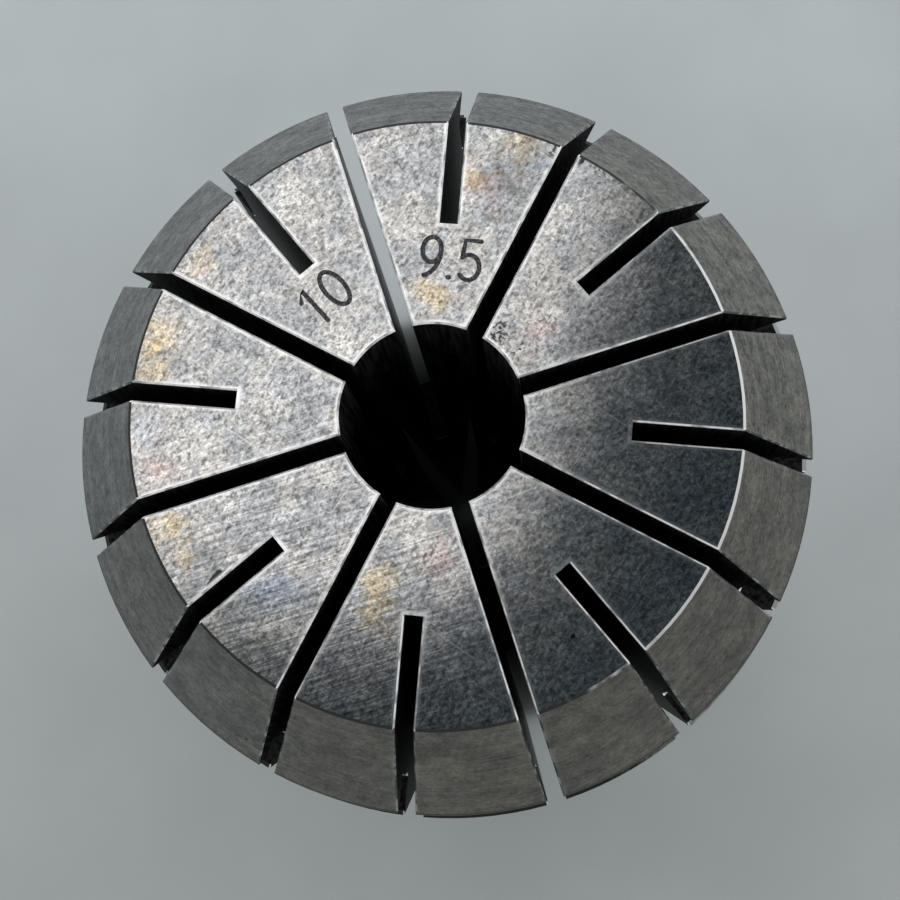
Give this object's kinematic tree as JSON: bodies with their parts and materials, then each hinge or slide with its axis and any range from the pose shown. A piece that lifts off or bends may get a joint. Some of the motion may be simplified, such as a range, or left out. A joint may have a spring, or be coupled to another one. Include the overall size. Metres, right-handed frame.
{
  "type": "er collet",
  "caption": "ER spring collet with a plain cylindrical bore, 30 degree nose cone, extraction groove and 8 degree seat, slit from both ends.",
  "frame": {"origin": "centre of the rear face, on the collet's axis, which is the plane it stands on", "axes": "+Z along the axis from the rear face to the marked front face; +Y through the middle of a slit that is cut from the front"},
  "size_m": [0.041, 0.041, 0.046],
  "materials": {
    "ground_steel": "ground, satin, with light wear"
  },
  "bodies": {
    "root": {"collet_body": "ground_steel"}
  },
  "joints": []
}
